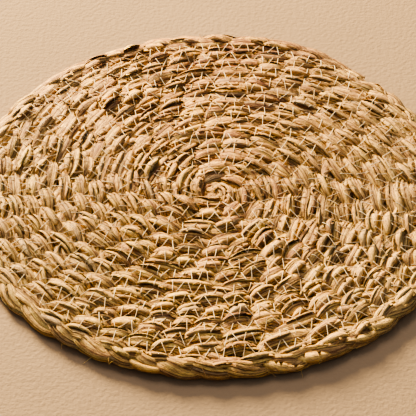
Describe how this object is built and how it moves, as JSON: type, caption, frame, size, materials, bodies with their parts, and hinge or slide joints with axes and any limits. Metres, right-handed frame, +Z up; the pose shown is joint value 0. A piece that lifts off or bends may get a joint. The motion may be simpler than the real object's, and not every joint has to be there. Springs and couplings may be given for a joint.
{
  "type": "straw placemat",
  "caption": "Round flat table mat of braided dried leaf, coiled outwards from the middle and sewn turn to turn with a fine pale thread.",
  "frame": {"origin": "under the middle of the mat, on the surface that it lies on", "axes": "+Z up out of the mat's top face; the braid's outer end lies 48 degrees round from +X towards +Y"},
  "size_m": [0.3784, 0.3848, 0.011],
  "materials": {
    "straw": "dry braided leaf, matt with a faint sheen, straw yellow to brown from leaf to leaf",
    "sewing_thread": "fine undyed thread, matt"
  },
  "bodies": {
    "root": {"braid_coil": "straw"}
  },
  "joints": []
}
